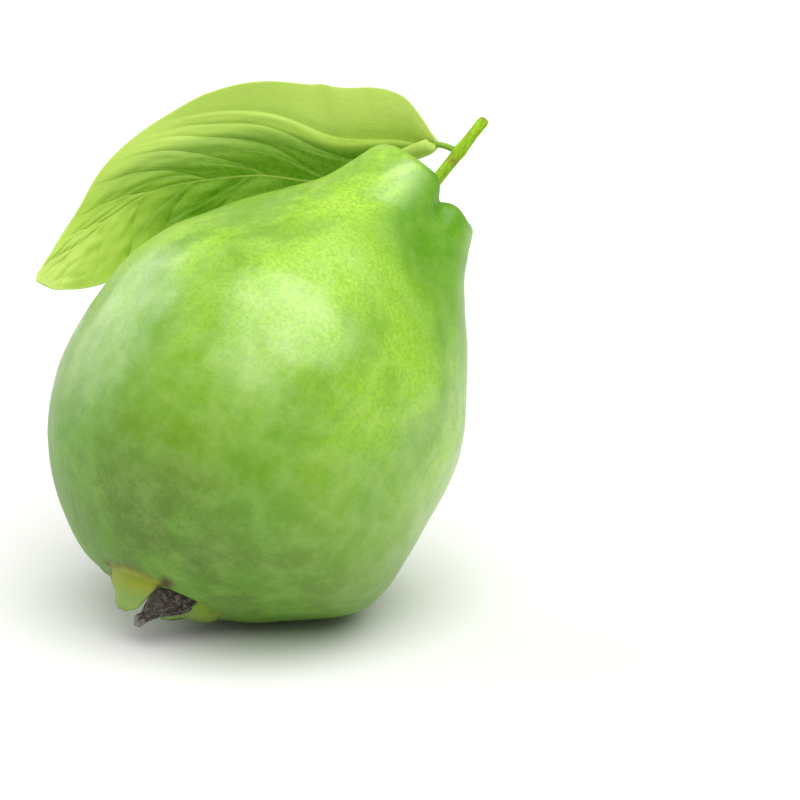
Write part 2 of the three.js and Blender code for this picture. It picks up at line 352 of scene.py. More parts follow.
def even_steps(points, count):
    """The same curve as count + 1 points at equal distances, and its length."""
    fine = [curve_point(points, i / CURVE_STEPS) for i in range(CURVE_STEPS + 1)]
    reached = [0.0]
    for first, second in zip(fine, fine[1:]):
        reached.append(reached[-1] + (second - first).length)
    steps = []
    place = 0
    for i in range(count + 1):
        wanted = reached[-1] * i / count
        while place < CURVE_STEPS - 1 and reached[place + 1] < wanted:
            place += 1
        part = (wanted - reached[place]) / (reached[place + 1] - reached[place])
        steps.append(fine[place].lerp(fine[place + 1], min(1.0, part)))
    return steps, reached[-1]


def outline_steps(outline, rows):
    """Radius and height of each row of a turned outline, at equal distances along it."""
    steps = even_steps([Vector((radius, height, 0)) for radius, height in outline], rows)[0]
    return [(step.x, step.y) for step in steps]


MIDRIB_STEPS, MIDRIB_LENGTH = even_steps([Vector(point) for point in MIDRIB_POINTS], MIDRIB_ROWS)
SKIN_STEPS = outline_steps(SKIN_OUTLINE, SKIN_ROWS)


def fruit_pose():
    """From the fruit's own frame to the scene's, in millimetres."""
    pose = Matrix.Rotation(HEADING, 4, "Z") @ Matrix.Rotation(LEAN, 4, "Y") @ Matrix.Rotation(SPIN, 4, "Z")
    return Matrix.Translation(SEAT) @ pose


def bend_axis(point):
    """The flower end sits a little to one side and slants, and the axis is slightly bowed."""
    near = 1 - smooth(0, 24, point.z)
    bow = AXIS_BOW * math.sin(math.pi * min(1.0, max(0.0, point.z / 94)))
    x = point.x + 3.2 * (1 - smooth(0, 36, point.z)) - bow
    z = point.z + (0.2 * (point.x + 2) - 0.07 * point.y) * near
    return Vector((x, point.y, z))


def sculpt_skin(point):
    """Uneven belly, knobs and creases of the skin."""
    radius = math.hypot(point.x, point.y)
    angle = math.atan2(point.y, point.x)
    turn = math.degrees(angle) % 360
    off_axis = smooth(0.5, 6, radius)
    neck = smooth(66, 93, point.z) * off_axis
    crest = smooth(85, 95, point.z) * smooth(1.5, 8, radius)
    belly = math.sin(math.pi * smooth(6, 88, point.z)) * off_axis
    push = belly * (0.35 * math.cos(2 * angle + 0.6) + 0.25 * math.cos(3 * angle - 1.1))
    lift = 0.0
    for middle, height, width, tall, out in SWELLINGS:
        push += out * bell(turn_gap(turn, middle), width) * bell(point.z - height, tall) * off_axis
    if neck > 0:
        for middle, width, rise, out in KNOBS:
            share = bell(turn_gap(turn, middle), width)
            push += out * share * neck
            lift += rise * share * crest
        for middle, width, depth, drop in CREASES:
            share = bell(turn_gap(turn, middle), width)
            push -= depth * share * neck * neck
            lift -= drop * share * crest
    grown = (radius + push) / radius if radius > 0 else 1.0
    aside = STALK_ASIDE * (1 - smooth(2.5, 9.5, radius)) * smooth(80, 88, point.z)
    return Vector((point.x * grown + aside, point.y * grown, point.z + lift))


def clear_selection():
    """Leaves edit mode and deselects everything."""
    if bpy.context.object and bpy.context.object.mode != "OBJECT":
        bpy.ops.object.mode_set(mode="OBJECT")
    bpy.ops.object.select_all(action="DESELECT")


def round_point(radius, turn, height):
    """Point at that radius, turn in degrees and height."""
    angle = math.radians(turn)
    return Vector((radius * math.cos(angle), radius * math.sin(angle), height))


def add_ball(columns, rows):
    """A ball whose rings and columns are then moved to where the piece has them."""
    clear_selection()
    bpy.ops.mesh.primitive_uv_sphere_add(segments=columns, ring_count=rows, radius=1)
    return bpy.context.object


def shape_ball(piece, rows, place):
    """Moves every point of the ball to place(row, turn), where row runs from 0 at its lowest point."""
    for vertex in piece.data.vertices:
        row = rows - round(math.acos(max(-1.0, min(1.0, vertex.co.z))) / math.pi * rows)
        turn = math.degrees(math.atan2(vertex.co.y, vertex.co.x)) % 360
        if row in (0, rows):
            turn = 0.0
        vertex.co = place(row, turn)
    piece.data.update()


def keep_numbers(piece, name, values):
    """Stores one number for each point of the mesh."""
    attribute = piece.data.attributes.new(name, "FLOAT", "POINT")
    attribute.data.foreach_set("value", values)


def keep_places(piece, name, places):
    """Stores one place for each point of the mesh."""
    attribute = piece.data.attributes.new(name, "FLOAT_VECTOR", "POINT")
    attribute.data.foreach_set("vector", [number for place in places for number in place])


def thicken(piece, thickness):
    """Gives a sheet its thickness, half of it to each side."""
    solid = piece.modifiers.new("thickness", "SOLIDIFY")
    solid.thickness = thickness
    solid.offset = 0.0
    bpy.ops.object.modifier_apply(modifier=solid.name)


def push_out(piece, amounts):
    """Moves each point along its normal by that many millimetres."""
    normals = [vertex.normal.copy() for vertex in piece.data.vertices]
    for vertex, normal, amount in zip(piece.data.vertices, normals, amounts):
        vertex.co += normal * amount * MM
    piece.data.update()


def dress(piece, name, node, material):
    """Names the piece, smooths it, gives it its material and ties it to the frame."""
    piece.name = name
    piece.data.name = name
    clear_selection()
    piece.select_set(True)
    bpy.context.view_layer.objects.active = piece
    bpy.ops.object.shade_smooth()
    piece.data.materials.clear()
    piece.data.materials.append(material)
    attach(piece, "root")
    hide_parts(node)


def new_material(name):
    """An empty material and its node tree."""
    material = bpy.data.materials.new(name)
    material.use_nodes = True
    material.node_tree.nodes.clear()
    return material, material.node_tree


def add_node(tree, kind, inputs=None, **settings):
    """Adds a node with its settings. A socket's value is a number, a colour, or another node's output."""
    node = tree.nodes.new(kind)
    for name, value in settings.items():
        setattr(node, name, value)
    for socket, value in (inputs or {}).items():
        if isinstance(value, bpy.types.NodeSocket):
            tree.links.new(value, node.inputs[socket])
        else:
            node.inputs[socket].default_value = value
    return node


def layered(tree, colour, layers):
    """Lays each colour over the ones before it by its share, and returns the last result."""
    for share, over in layers:
        mixed = add_node(tree, "ShaderNodeMix", {0: share, 6: colour, 7: over}, data_type="RGBA")
        colour = mixed.outputs[2]
    return colour


def end_material(tree, surface):
    """Gives the material its surface, whose sockets take the values given."""
    shader = add_node(tree, "ShaderNodeBsdfPrincipled", surface)
    add_node(tree, "ShaderNodeOutputMaterial", {"Surface": shader.outputs["BSDF"]})


# Fruit

def inverse_smooth(share):
    """Place at which a soft step reaches that share."""
    share = min(1.0, max(0.0, share))
    return 0.5 - math.sin(math.asin(1 - 2 * share) / 3)


def nearest_sepal(turn):
    """The green sepal whose middle is nearest, by share of its spread."""
    return min(GREEN_SEPALS, key=lambda sepal: abs(turn_gap(turn, sepal[0])) / sepal[1])


def crown_reach(turn):
    """How far the rim of the calyx stands out at that turn, past the root of the sepals."""
    middle, spread, length, tip = nearest_sepal(turn)[:4]
    across = abs(turn_gap(turn, middle)) / spread
    ring = RING_REACH - 1.2 * bell(turn_gap(turn, 289), 17)
    ragged = 0.35 * noise.noise(Vector((turn * 0.13, 3.7, length)))
    ragged += 0.3 * noise.noise(Vector((turn * 0.5, 8.1, length)))
    if across <= tip:
        along = 1 - 0.12 * (across / tip) ** 2
    else:
        along = 0.15 + 0.85 * inverse_smooth((1 - across) / (1 - tip))
        along *= 1 - 0.12 * along
    along *= 1 - smooth(0.97, 1.05, across)
    reach = length * along + ragged * smooth(0.3, 0.8, along)
    return max(ring, reach)


def crown_point(turn, share, side):
    """Point of the calyx wall: share 0 at its root and 1 at its rim, side -1 inside and 1 outside."""
    middle, spread, length, tip, inward, swing, flare = nearest_sepal(turn)
    reach = crown_reach(turn) * share
    along = min(1.0, reach / length)
    narrow = 1 - (1 - tip) * smooth(0.15, 1, along)
    across = max(-1.0, min(1.0, turn_gap(turn, middle) / spread / narrow))
    slope = math.radians(inward) * smooth(0, 0.7, along)
    wave = flare * math.sin(3 * across + 5 * along) * along
    taper = math.sqrt(max(0.0, 1 - share ** 5))
    half = SEPAL_THICKNESS * (0.62 - 0.22 * along) * taper
    radius = SEPAL_ROOT_RADIUS - reach * math.sin(slope) + wave + side * half
    height = SEPAL_ROOT_HEIGHT - reach * math.cos(slope)
    return round_point(radius, turn + swing * along * along, height)


def fruit_point(row, turn):
    """Point of the fruit's surface in its own frame, from the cup to the stalk hollow."""
    if row <= CUP_ROWS:
        inner = crown_point(turn, 0.0, -1)
        share = row / CUP_ROWS
        radius = math.hypot(inner.x, inner.y) * share
        height = read_outline(CUP_OUTLINE, radius)
        height += (inner.z - height) * smooth(0.8, 1, share)
        point = round_point(radius, turn, height)
    elif row <= CUP_ROWS + WALL_ROWS:
        point = crown_point(turn, (row - CUP_ROWS) / WALL_ROWS, -1)
    elif row <= CUP_ROWS + 2 * WALL_ROWS:
        step = row - CUP_ROWS - WALL_ROWS
        reach = crown_reach(turn)
        root = min(0.9, 1.25 / reach)
        point = crown_point(turn, 1 - (1 - root) * step / WALL_ROWS, 1)
    else:
        radius, height = SKIN_STEPS[row - CUP_ROWS - 2 * WALL_ROWS]
        if row < FRUIT_ROWS:
            radius += 0.5 * bell(radius - CALYX_RADIUS, 1.2) * smooth(4, 0, height)
        point = round_point(radius, turn, height)
    return bend_axis(sculpt_skin(point))


def base_radius(turn):
    """Radius on the skin at which the base of the sepals ends: the front one grips furthest out."""
    return 11.9 + 2.3 * bell(turn_gap(turn, 236), 34)


def sepal_share(turn):
    """How much of the sepal's own colour shows there: most on the front one, none between two of them; the
    other sepals get less of it as painted shade.
    """
    middle, spread = nearest_sepal(turn)[:2]
    share = smooth(1.1, 0.92, abs(turn_gap(turn, middle)) / spread)
    # Painted shade: less yellow-green on the sepals other than the lit front one.
    return share if middle == GREEN_SEPALS[0][0] else 0.4 * share


def skin_relief(own, height):
    """Small unevenness of the skin in millimetres, along its normal."""
    lumps = 0.16 * noise.noise(own / 11) + 0.09 * noise.noise(own / 4.5 + Vector((7, 1, 4)))
    turn = math.atan2(own.y, own.x)
    ribs = noise.noise(Vector((math.cos(turn) * 5, math.sin(turn) * 5, own.z / 40)))
    pores = noise.noise(own / 1.3)
    return lumps + 0.09 * ribs * smooth(1, 12, height) + 0.02 * pores - 0.14


def sepal_marks(row, turn):
    """Shares of sepal colour, of brown at its base with painted shade in the notch beside the dry sepal,
    and nearness to its rim, at a point.
    """
    wall = row - CUP_ROWS
    skin_row = wall - 2 * WALL_ROWS
    middle, spread = nearest_sepal(turn)[:2]
    share = sepal_share(turn)
    if skin_row <= 0:
        between = bell(abs(turn_gap(turn, middle)) / spread - 1.0, 0.1)
        brown = 0.8 * max(between, smooth(4, 0, wall)) if wall > -3 else 0.6
        rim = 1 - abs(wall - WALL_ROWS) / WALL_ROWS if 0 < wall < 2 * WALL_ROWS else 0.0
        return smooth(0, 3, wall) * share, brown, rim
    past = SKIN_STEPS[skin_row][0] - base_radius(turn) if skin_row < SEPAL_SKIN_ROWS else 99.0
    ragged = 0.55 + 0.9 * noise.noise(Vector((turn * 0.14, past, 2.0)))
    spot = 0.7 + 0.9 * bell(turn_gap(turn, 216), 10)
    line = 0.9 * bell(past + 0.4, 1.2) * ragged * spot * share
    # Painted shade: dark colour laid in the gap between the front sepal and the dry sepal.
    notch_shade = bell(turn_gap(turn, 270), 6) * smooth(3.6, 0.8, past)
    return smooth(0.3, -0.5, past) * share, min(0.95, max(0.0, line, notch_shade)), 0.0


class GuavaFruitSettings(bpy.types.PropertyGroup):
    """Colours of the fruit's skin"""
    # Painted light: the neck and shoulders are lighter because the light falls on the upper side.
    painted_light_green: bpy.props.FloatVectorProperty(
        name="Light green", description="Skin of the neck and the shoulders", subtype="COLOR", size=4,
        min=0, max=1, default=linear("#b4e63e"))
    middle_green: bpy.props.FloatVectorProperty(
        name="Middle green", description="Skin of the belly", subtype="COLOR", size=4,
        min=0, max=1, default=linear("#80b000"))
    deep_green: bpy.props.FloatVectorProperty(
        name="Deep green", description="Darker clouds of the skin", subtype="COLOR", size=4,
        min=0, max=1, default=linear("#5a9200"))
    # Painted shade: a deeper green laid where the neck's crease, the flank below the knob and the lower
    # left of the belly lie in shade.
    painted_shade_green: bpy.props.FloatVectorProperty(
        name="Shade green", description="Skin of the side that had less sun", subtype="COLOR", size=4,
        min=0, max=1, default=linear("#609e0a"))
    # Partly the skin's own olive tone round the flower end, partly painted shade on the lower side.
    low_green_and_shade: bpy.props.FloatVectorProperty(
        name="Low green", description="Skin round the flower end", subtype="COLOR", size=4,
        min=0, max=1, default=linear("#4f6a14"))
    bloom: bpy.props.FloatVectorProperty(
        name="Bloom", description="Pale waxy bloom", subtype="COLOR", size=4,
        min=0, max=1, default=linear("#bfe27c"))


def painted_shade_share(own):
    """How much painted shade lies on a place of the skin: deeper green in the neck's crease, on the flank
    below the knob and at the lower left, less on the lit ridge of the neck.
    """
    turn = math.degrees(math.atan2(own.y, own.x)) % 360
    # Painted shade on the flank, in the crease and at the lower left, taken back on the lit ridge of the
    # neck.
    flank = bell(turn_gap(turn, 318), 44) * smooth(46, 78, own.z)
    groove = bell(turn_gap(turn, 280), 24) * smooth(70, 84, own.z)
    low_left = 0.4 * bell(turn_gap(turn, 205), 36) * bell(own.z - 10, 14)
    ridge = bell(turn_gap(turn, 246), 14) * bell(own.z - 88, 9)
    return min(1.0, max(0.0, 0.85 * flank + 0.85 * groove + low_left - 0.6 * ridge))


def guava_skin(settings):
    """Waxy berry skin: a thin cuticle over green flesh, so soft broad highlights and fine mottling."""
    material, tree = new_material("guava_skin")
    own = add_node(tree, "ShaderNodeAttribute", attribute_name="own_place").outputs["Vector"]
    height, crown, base_line_and_notch_shade, painted_shade, rim = (
        add_node(tree, "ShaderNodeAttribute", attribute_name=name).outputs["Fac"]
        for name in ("height", "crown", "base_line_and_notch_shade", "painted_shade", "rim"))
    # Clouds some 15 mm wide, drawn out along the fruit.
    drawn_out = add_node(tree, "ShaderNodeMapping", {"Vector": own, "Scale": (1.0, 1.0, 0.55)})
    clouds = add_node(tree, "ShaderNodeTexNoise", {
        "Vector": drawn_out.outputs["Vector"],
        "Scale": 0.065, "Detail": 5, "Roughness": 0.62, "Distortion": 0.6})
    cloud_share = add_node(tree, "ShaderNodeMapRange", {
        "Value": clouds.outputs["Fac"], "From Min": 0.4, "From Max": 0.66, "To Max": 0.62},
        interpolation_type="SMOOTHSTEP").outputs[0]
    # Fine mottling half a millimetre to a millimetre wide, as the oil glands under the skin give it.
    mottle = add_node(tree, "ShaderNodeTexNoise", {
        "Vector": own, "Scale": 1.35, "Detail": 3, "Roughness": 0.75}).outputs["Fac"]
    mottle_share = add_node(tree, "ShaderNodeMapRange", {
        "Value": mottle, "From Min": 0.4, "From Max": 0.64, "To Max": 0.42}).outputs[0]
    # Painted light: the skin gets lighter towards the neck, where the light falls.
    painted_light_share = add_node(tree, "ShaderNodeMapRange", {
        "Value": height, "From Min": 0.3, "From Max": 0.72}, interpolation_type="SMOOTHSTEP").outputs[0]
    # Darker towards the flower end: partly the skin's own tone, partly painted shade.
    low_tone_and_shade = add_node(tree, "ShaderNodeMapRange", {
        "Value": height, "From Min": 0.44, "From Max": 0.06}, interpolation_type="SMOOTHSTEP").outputs[0]
    # Bloom rubbed thin in places, some 6 mm wide.
    rubbed = add_node(tree, "ShaderNodeTexNoise", {
        "Vector": own, "Scale": 0.17, "Detail": 6, "Roughness": 0.7}).outputs["Fac"]
    bloom_share = add_node(tree, "ShaderNodeMapRange", {
        "Value": rubbed, "From Min": 0.42, "From Max": 0.75, "To Max": 0.22}).outputs[0]
    # Gland dots about half a millimetre wide, a little over one apart.
    dots = add_node(tree, "ShaderNodeTexVoronoi", {
        "Vector": own, "Scale": 0.75, "Randomness": 1.0}).outputs["Distance"]
    dot_share = add_node(tree, "ShaderNodeMapRange", {
        "Value": dots, "From Min": 0.24, "From Max": 0.06, "To Max": 0.16}).outputs[0]
    rim_share = add_node(tree, "ShaderNodeMapRange", {
        "Value": rim, "From Min": 0.12, "From Max": 0.7, "To Max": 0.9},
        interpolation_type="SMOOTHSTEP").outputs[0]
    sepal_green = add_node(tree, "ShaderNodeMix", {
        0: rim_share, 6: linear("#8a981c"), 7: linear("#82a048")}, data_type="RGBA").outputs[2]
    colour = layered(tree, settings.middle_green, (
        # Painted light on the upper part.
        (painted_light_share, settings.painted_light_green),
        # Own olive tone and painted shade at the flower end.
        (low_tone_and_shade, settings.low_green_and_shade),
        # Painted shade in the crease, on the flank and at the lower left.
        (painted_shade, settings.painted_shade_green),
        (cloud_share, settings.deep_green),
        (mottle_share, settings.deep_green),
        (bloom_share, settings.bloom),
        (dot_share, linear("#5d8c18")),
        (crown, sepal_green),
        # Brown line at the sepals' base, with painted shade in the notch beside the dry sepal.
        (base_line_and_notch_shade, linear("#46340e")),
    ))
    relief = add_node(tree, "ShaderNodeMath", {0: mottle, 1: dots}, operation="ADD")
    grain = add_node(tree, "ShaderNodeBump", {
        "Strength": 0.16, "Distance": 0.0003, "Height": relief.outputs[0]})
    bump = add_node(tree, "ShaderNodeBump", {
        "Strength": 0.35, "Distance": 0.0016, "Height": rubbed, "Normal": grain.outputs["Normal"]})
    gloss = add_node(tree, "ShaderNodeMapRange", {
        "Value": rubbed, "From Min": 0.3, "From Max": 0.7, "To Min": 0.4, "To Max": 0.6}).outputs[0]
    # Wax lies thick on the light upper side and is worn off near the flower end and where the shade is
    # painted.
    wax = add_node(tree, "ShaderNodeMapRange", {
        "Value": rubbed, "From Min": 0.3, "From Max": 0.6, "To Min": 0.45, "To Max": 1.0}).outputs[0]
    for share, left in ((low_tone_and_shade, 0.1), (painted_shade, 0.2)):
        wax = add_node(tree, "ShaderNodeMix", {0: share, 2: wax, 3: left}).outputs[0]
    end_material(tree, {
        "Base Color": colour,
        "Roughness": gloss,
        "IOR": 1.47,
        "Specular IOR Level": 0.3,
        "Coat Weight": wax,
        "Coat Roughness": 0.3,
        "Coat IOR": 1.7,
        "Subsurface Weight": 0.06,
        "Subsurface Radius": (0.002, 0.003, 0.001),
        "Subsurface Scale": 1.0,
        "Normal": bump.outputs["Normal"]})
    return material


class GUAVA_OT_fruit(bpy.types.Operator):
    """Builds the fruit with the green sepals that grow on it"""
    bl_idname = "guava.fruit"
    bl_label = "Fruit"

    def execute(self, context):
        piece = add_ball(FRUIT_COLUMNS, FRUIT_ROWS)
        pose = fruit_pose()
        own_places = []
        marks = []

        def place(row, turn):
            own = fruit_point(row, turn)
            own_places.append(own)
            marks.append(sepal_marks(row, turn))
            world = pose @ own
            lowest = 0.5 * (world.z + math.sqrt(world.z * world.z + 0.03))
            return Vector((world.x, world.y, lowest)) * MM

        shape_ball(piece, FRUIT_ROWS, place)
        push_out(piece, [skin_relief(own, own.z) for own in own_places])
        for vertex in piece.data.vertices:
            vertex.co.z = max(0.0, vertex.co.z)
        keep_places(piece, "own_place", own_places)
        keep_numbers(piece, "height", [max(0.0, own.z / CREST_HEIGHT) for own in own_places])
        keep_numbers(piece, "painted_shade", [painted_shade_share(own) for own in own_places])
        for name, values in zip(("crown", "base_line_and_notch_shade", "rim"), zip(*marks)):
            keep_numbers(piece, name, values)
        dress(piece, "guava_fruit", "fruit", guava_skin(context.scene.guava_fruit))
        return {"FINISHED"}


# Stalk

def stalk_outline():
    """Radius and height above the foot, from its root in the fruit to the cut end."""
    length = STALK_TOP - STALK_FOOT
    return [
        (0, -0.9),
        (2.2, -0.7),
        (1.6, 1.0),
        (STALK_RADIUS * 1.1, 4),
        (STALK_RADIUS * 1.06, LEAF_JOINT - 2.2),
        (STALK_RADIUS * 1.2, LEAF_JOINT),
        (STALK_RADIUS * 1.04, LEAF_JOINT + 1.8),
        (STALK_RADIUS * 0.96, length - 2.4),
        (STALK_RADIUS * 0.95, length - 0.95),
        (STALK_RADIUS * 0.6, length - 0.3),
        (0, length - 0.38),
    ]


class GuavaStalkSettings(bpy.types.PropertyGroup):
    """Colour of the stalk"""
    green: bpy.props.FloatVectorProperty(
        name="Green", description="Bark of the young stalk", subtype="COLOR", size=4,
        min=0, max=1, default=linear("#9cc800"))


def young_bark(settings):
    """Bark of a young twig: green and smooth, with fine ridges along it."""
    material, tree = new_material("young_bark")
    own = add_node(tree, "ShaderNodeAttribute", attribute_name="own_place").outputs["Vector"]
    scar = add_node(tree, "ShaderNodeAttribute", attribute_name="scar").outputs["Fac"]
    # Streaks some half a millimetre wide and four long.
    stretched = add_node(tree, "ShaderNodeMapping", {"Vector": own, "Scale": (1.6, 1.6, 0.25)})
    streaks = add_node(tree, "ShaderNodeTexNoise", {
        "Vector": stretched.outputs["Vector"], "Scale": 1.0, "Detail": 3, "Roughness": 0.6}).outputs["Fac"]
    streak_share = add_node(tree, "ShaderNodeMapRange", {
        "Value": streaks, "From Min": 0.35, "From Max": 0.65}, interpolation_type="SMOOTHSTEP").outputs[0]
    colour = layered(tree, settings.green, ((streak_share, linear("#7fae04")), (scar, linear("#7a6a1c"))))
    bump = add_node(tree, "ShaderNodeBump", {"Strength": 0.25, "Distance": 0.0004, "Height": streaks})
    end_material(tree, {
        "Base Color": colour,
        "Roughness": 0.5,
        "IOR": 1.45,
        "Specular IOR Level": 0.3,
        "Normal": bump.outputs["Normal"]})
    return material


class GUAVA_OT_stalk(bpy.types.Operator):
    """Builds the stalk with its cut end"""
    bl_idname = "guava.stalk"
    bl_label = "Stalk"

    def execute(self, context):
        piece = add_ball(STALK_COLUMNS, STALK_ROWS)
        pose = fruit_pose()
        steps = outline_steps(stalk_outline(), STALK_ROWS)
        own_places = []
        scars = []

        def place(row, turn):
            radius, height = steps[row]
            ridge = 0.05 * noise.noise(round_point(3, turn, height / 9))
            radius = max(0.0, radius + ridge * smooth(0, 0.5, radius) - 0.03)
            own = round_point(radius, turn, height + STALK_FOOT)
            own.x += STALK_ASIDE + STALK_SLANT * height
            own_places.append(own)
            below_joint = bell(height - LEAF_JOINT + 2.6, 1.0) * bell(turn_gap(turn, 285), 70)
            cut = smooth(1.2, 0.3, STALK_TOP - STALK_FOOT - height)
            speck = smooth(0.55, 0.8, noise.noise(own * 1.7) + 0.5)
            scars.append(min(0.8, 0.6 * below_joint + 0.5 * cut + 0.3 * speck))
            return (pose @ own) * MM

        shape_ball(piece, STALK_ROWS, place)
        keep_places(piece, "own_place", own_places)
        keep_numbers(piece, "scar", scars)
        dress(piece, "guava_stalk", "stalk", young_bark(context.scene.guava_stalk))
        return {"FINISHED"}


# Leaf

def midrib_at(share):
    """Point and direction of the midrib at that share of its length."""
    place = min(1.0, max(0.0, share)) * MIDRIB_ROWS
    number = min(MIDRIB_ROWS - 1, int(place))
    point = MIDRIB_STEPS[number].lerp(MIDRIB_STEPS[number + 1], place - number)
    before = MIDRIB_STEPS[max(0, number - 24)]
    after = MIDRIB_STEPS[min(MIDRIB_ROWS, number + 25)]
    return point, (after - before).normalized()


def roll_half(width, angle, bend_radius):
    """One half of the blade rolls about the midrib by the angle and then runs on straight."""
    turned = min(abs(angle), width / bend_radius)
    rest = width - turned * bend_radius
    side = math.copysign(1.0, angle)
    out = bend_radius * math.sin(turned) + rest * math.cos(turned)
    up = side * (bend_radius * (1 - math.cos(turned)) + rest * math.sin(turned))
    return out, up


def vein_phase(along, share, sign):
    """Running number of the side vein that passes there, and how far apart the veins are there.

    Whole numbers are on a vein; the number is negative before the first one.
    """
    rise = share ** 1.15 if sign > 0 else 0.8 * share ** 1.2
    along += 0.006 * noise.noise(Vector((share * 4, along * 9, 3 + sign))) - (0.03 if sign < 0 else 0.0)
    places = [start + forward * rise for start, forward in SIDE_VEINS]
    number = 0
    while number < len(places) - 2 and along > places[number + 1]:
        number += 1
    apart = places[number + 1] - places[number]
    return number + (along - places[number]) / max(apart, 0.05), apart


def blade_puff(along, share, sign):
    """Relative height of the soft cushions between the side veins, quilted by smaller ones."""
    phase, apart = vein_phase(along, share, sign)
    if phase < 0:
        return 0.3 * smooth(0.0, -1.0, phase) - 0.5
    cushion = math.sqrt(abs(math.sin(math.pi * phase)) + 0.02) - 0.6
    small = noise.noise(Vector((phase * 2.3, share * 5.5, sign * 4)))
    return (0.9 * cushion + 0.5 * small) * smooth(0.0, 0.09, apart) - 0.5 * smooth(0.09, 0.0, apart)


def blade_point(row, across):
    """Point of the blade's middle surface, and the width of its half there."""
    share = abs(across)
    sign = math.copysign(1.0, across)
    margin_at = 0.05 * smooth(0, 0.14, row) + 0.95 * row + VEIN_ARCH * math.sin(math.pi * row)
    half_width = read_curve(LOWER_MARGIN if across < 0 else UPPER_MARGIN, min(1.0, margin_at))
    half_width *= math.sqrt(max(0.0, 1 - smooth(0.955, 1.0, row) ** 2))
    along = min(1.0, max(0.0, row + (margin_at - row) * (0.6 * share + 0.4 * share * share)))
    centre, forward = midrib_at(along)
    upward = forward.cross(BLADE_FACING).normalized()
    facing = upward.cross(forward).normalized()
    distance = along * MIDRIB_LENGTH
    lean = math.radians(12) * smooth(4, 30, distance) * (1 - 0.7 * smooth(55, 85, distance))
    if across < 0:
        rolled = LOBE_ROLL * smooth(LOBE_OPEN, LOBE_END, distance)
        fold = math.radians(4 + rolled - 20 * bell(distance - 25, 8))
    else:
        fold = math.radians(7)
    nose = math.sqrt(1 - (1 - min(1.0, distance / NOSE_LENGTH)) ** 2)
    bend_radius = NOSE_RADIUS + (LOBE_RADIUS - NOSE_RADIUS) * nose + 0.65 * smooth(10, 15, distance)
    if across < 0:
        # The lobe opens like a scroll: its whole width bends evenly.
        even_radius = half_width / max(0.4, fold)
        bend_radius += smooth(0.15, 1.2, fold) * max(0.0, even_radius - bend_radius)
    rolled_out, rolled_up = roll_half(half_width * share, fold, bend_radius)
    puff = (0.62 if sign > 0 else 0.78) * blade_puff(along, share, sign) * smooth(0, 0.16, share)
    puff *= (1 - 0.85 * smooth(0.75, 1, share)) * (1 - smooth(0.9, 1, row))
    recurve = 2.6 * share * share * min(1.0, half_width / 14)
    if across < 0:
        recurve *= smooth(8, 30, distance)
        puff *= smooth(14, 26, distance)
    wave = 0.5 * share ** 3 * math.sin(22 * row + 1.5 * sign) * smooth(0, 0.2, row)
    out = sign * rolled_out
    up = rolled_up + puff - recurve + wave
    return (
        centre
        + upward * (out * math.cos(lean) - up * math.sin(lean))
        + facing * (out * math.sin(lean) + up * math.cos(lean))
    ), half_width


class GuavaLeafSettings(bpy.types.PropertyGroup):
    """Colours and thickness of the leaf"""
    green: bpy.props.FloatVectorProperty(
        name="Green", description="Outer parts of the blade", subtype="COLOR", size=4,
        min=0, max=1, default=linear("#b3d050"))
    # Painted shade: the deeper green beside the midrib stands in for the shade in the fold of the blade.
    deep: bpy.props.FloatVectorProperty(
        name="Deep green", description="Blade beside the midrib", subtype="COLOR", size=4,
        min=0, max=1, default=linear("#558a00"))
    # Also laid as painted light on the outer part of the upper half.
    pale: bpy.props.FloatVectorProperty(
        name="Pale green", description="Margin, side veins and base lobe", subtype="COLOR", size=4,
        min=0, max=1, default=linear("#cbe07c"))
    thickness: bpy.props.FloatProperty(
        name="Thickness", description="Thickness of the blade", unit="LENGTH",
        default=BLADE_THICKNESS * MM)


def leaf_blade(settings):
    """Living leaf: matt and waxy, deeper green beside the midrib and between the cushions as painted shade,
    paler at the margin and the veins, and paler on the outer upper half as painted light.
    """
    material, tree = new_material("leaf_blade")
    vein, pale, deep = (
        add_node(tree, "ShaderNodeAttribute", attribute_name=name).outputs["Fac"]
        for name in ("vein", "pale", "deep"))
    place = add_node(tree, "ShaderNodeAttribute", attribute_name="vein_place").outputs["Vector"]
    # Net of the finest veins, cells about 2 mm wide.
    net = add_node(tree, "ShaderNodeTexVoronoi", {
        "Vector": place, "Scale": 0.6}, feature="DISTANCE_TO_EDGE")
    net_share = add_node(tree, "ShaderNodeMapRange", {
        "Value": net.outputs["Distance"],
        "From Min": 0.0, "From Max": 0.2, "To Min": 0.2, "To Max": 0.0}).outputs[0]
    # Clouds some 6 mm wide.
    clouds = add_node(tree, "ShaderNodeTexNoise", {
        "Vector": place, "Scale": 0.16, "Detail": 6, "Roughness": 0.7})
    cloud_share = add_node(tree, "ShaderNodeMapRange", {
        "Value": clouds.outputs["Fac"], "From Min": 0.35, "From Max": 0.7, "To Max": 0.5}).outputs[0]
    colour = layered(tree, settings.green, (
        (cloud_share, linear("#95b93a")),
        # Painted shade beside the midrib.
        (deep, settings.deep),
        (net_share, linear("#9dbd4c")),
        (pale, settings.pale),
        (vein, linear("#cfd97a")),
    ))
    grain = add_node(tree, "ShaderNodeTexNoise", {"Vector": place, "Scale": 1.6, "Detail": 3})
    relief = add_node(tree, "ShaderNodeMath", {
        0: grain.outputs["Fac"], 1: net_share}, operation="SUBTRACT")
    bump = add_node(tree, "ShaderNodeBump", {
        "Strength": 0.25, "Distance": 0.0003, "Height": relief.outputs[0]})
    end_material(tree, {
        "Base Color": colour,
        "Roughness": 0.55,
        "IOR": 1.45,
        "Specular IOR Level": 0.22,
        "Subsurface Weight": 0.15,
        "Subsurface Radius": (0.001, 0.0014, 0.0004),
        "Subsurface Scale": 1.0,
        "Normal": bump.outputs["Normal"]})
    return material


